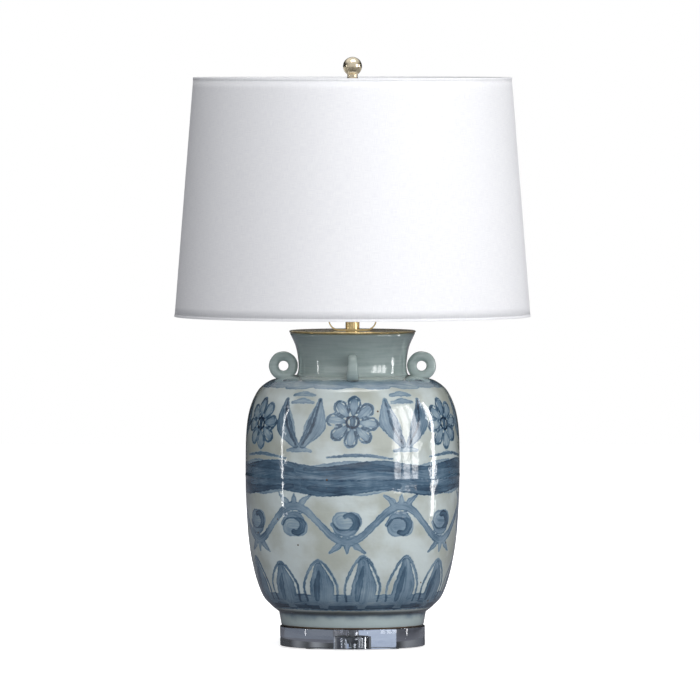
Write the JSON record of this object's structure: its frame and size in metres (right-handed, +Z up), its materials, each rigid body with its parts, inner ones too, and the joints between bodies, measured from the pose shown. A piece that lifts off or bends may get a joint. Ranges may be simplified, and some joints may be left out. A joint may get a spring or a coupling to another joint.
{
  "type": "table lamp",
  "caption": "Table lamp: painted glazed jar with loop handles on a clear acrylic disc, brass cap, harp and ball finial, white linen drum shade.",
  "frame": {"origin": "middle of the underside, on the surface that the four bumper pads stand on", "axes": "+Z up along the lamp's own axis; -Y is the front, where the switch knob points; the harp stands in the X-Z plane and the cord leaves at +Y"},
  "size_m": [0.4571, 0.4572, 0.7555],
  "materials": {
    "clear_pad": "clear soft polyurethane",
    "clear_acrylic": "clear polished acrylic",
    "zinc_steel": "zinc plated",
    "painted_glaze": "pale grey-green glaze over cobalt brushwork",
    "celadon_glaze": "plain grey-green glaze",
    "bushing_nylon": "translucent nylon",
    "brass": "polished, lacquered",
    "thin_brass": "rolled sheet",
    "insulator_card": "vulcanised card",
    "phenolic": "moulded phenolic",
    "knob_plastic": "moulded",
    "bulb_aluminium": "rolled thread",
    "frosted_glass": "inside frosted",
    "white_linen": "fine linen weave",
    "styrene_liner": "smooth translucent styrene",
    "frame_wire": "white painted wire"
  },
  "bodies": {
    "root": {"base_pads": "clear_pad", "acrylic_base": "clear_acrylic", "bottom_washer": "zinc_steel", "lock_washer": "zinc_steel", "bottom_nut": "zinc_steel", "threaded_rod": "zinc_steel", "jar": "painted_glaze", "loop_front": "celadon_glaze", "loop_back": "celadon_glaze", "loop_left": "celadon_glaze", "loop_right": "celadon_glaze", "cord_bushing": "bushing_nylon", "vase_cap": "brass", "harp_saddle": "brass", "cap_nut": "zinc_steel", "neck_spacer": "brass", "socket_cap": "brass", "set_screw": "zinc_steel", "socket_shell": "brass", "socket_insulator": "insulator_card", "socket_body": "phenolic", "terminal_screws": "zinc_steel", "screw_shell": "thin_brass", "centre_contact": "thin_brass", "harp": "brass", "harp_stud": "brass"},
    "shade": {"shade_fabric": "white_linen", "shade_liner": "styrene_liner", "shade_top_hem": "white_linen", "shade_bottom_hem": "white_linen", "shade_back_seam": "white_linen", "shade_top_ring": "frame_wire", "shade_bottom_ring": "frame_wire", "spider_washer": "frame_wire", "spider_spokes": "frame_wire"},
    "finial": {"finial_collar": "brass", "finial_ball": "brass"},
    "switch": {"switch_shaft": "zinc_steel", "switch_knob": "knob_plastic"},
    "bulb": {"bulb_contact": "thin_brass", "bulb_insulator": "phenolic", "bulb_base": "bulb_aluminium", "bulb_glass": "frosted_glass"},
    "ferrule_right": {"ferrule_right": "brass"},
    "ferrule_left": {"ferrule_left": "brass"}
  },
  "joints": [
    {"name": "shade_turn", "type": "hinge", "parent": "root", "child": "shade", "pos_m": [0, 0, 0.719], "axis": [0, 0, 1], "continuous": true},
    {"name": "finial_turn", "type": "hinge", "parent": "root", "child": "finial", "pos_m": [0, 0, 0.728], "axis": [0, 0, 1], "continuous": true},
    {"name": "switch_turn", "type": "hinge", "parent": "root", "child": "switch", "pos_m": [0, -0.012, 0.4519], "axis": [0, -1, 0], "continuous": true},
    {"name": "bulb_turn", "type": "hinge", "parent": "root", "child": "bulb", "pos_m": [0, 0, 0.475], "axis": [0, 0, 1], "continuous": true},
    {"name": "ferrule_right_slide", "type": "slide", "parent": "root", "child": "ferrule_right", "axis": [0.0523, 0, 0.9986], "range_m": [0, 0.012]},
    {"name": "ferrule_left_slide", "type": "slide", "parent": "root", "child": "ferrule_left", "axis": [-0.0523, 0, 0.9986], "range_m": [0, 0.012]}
  ]
}
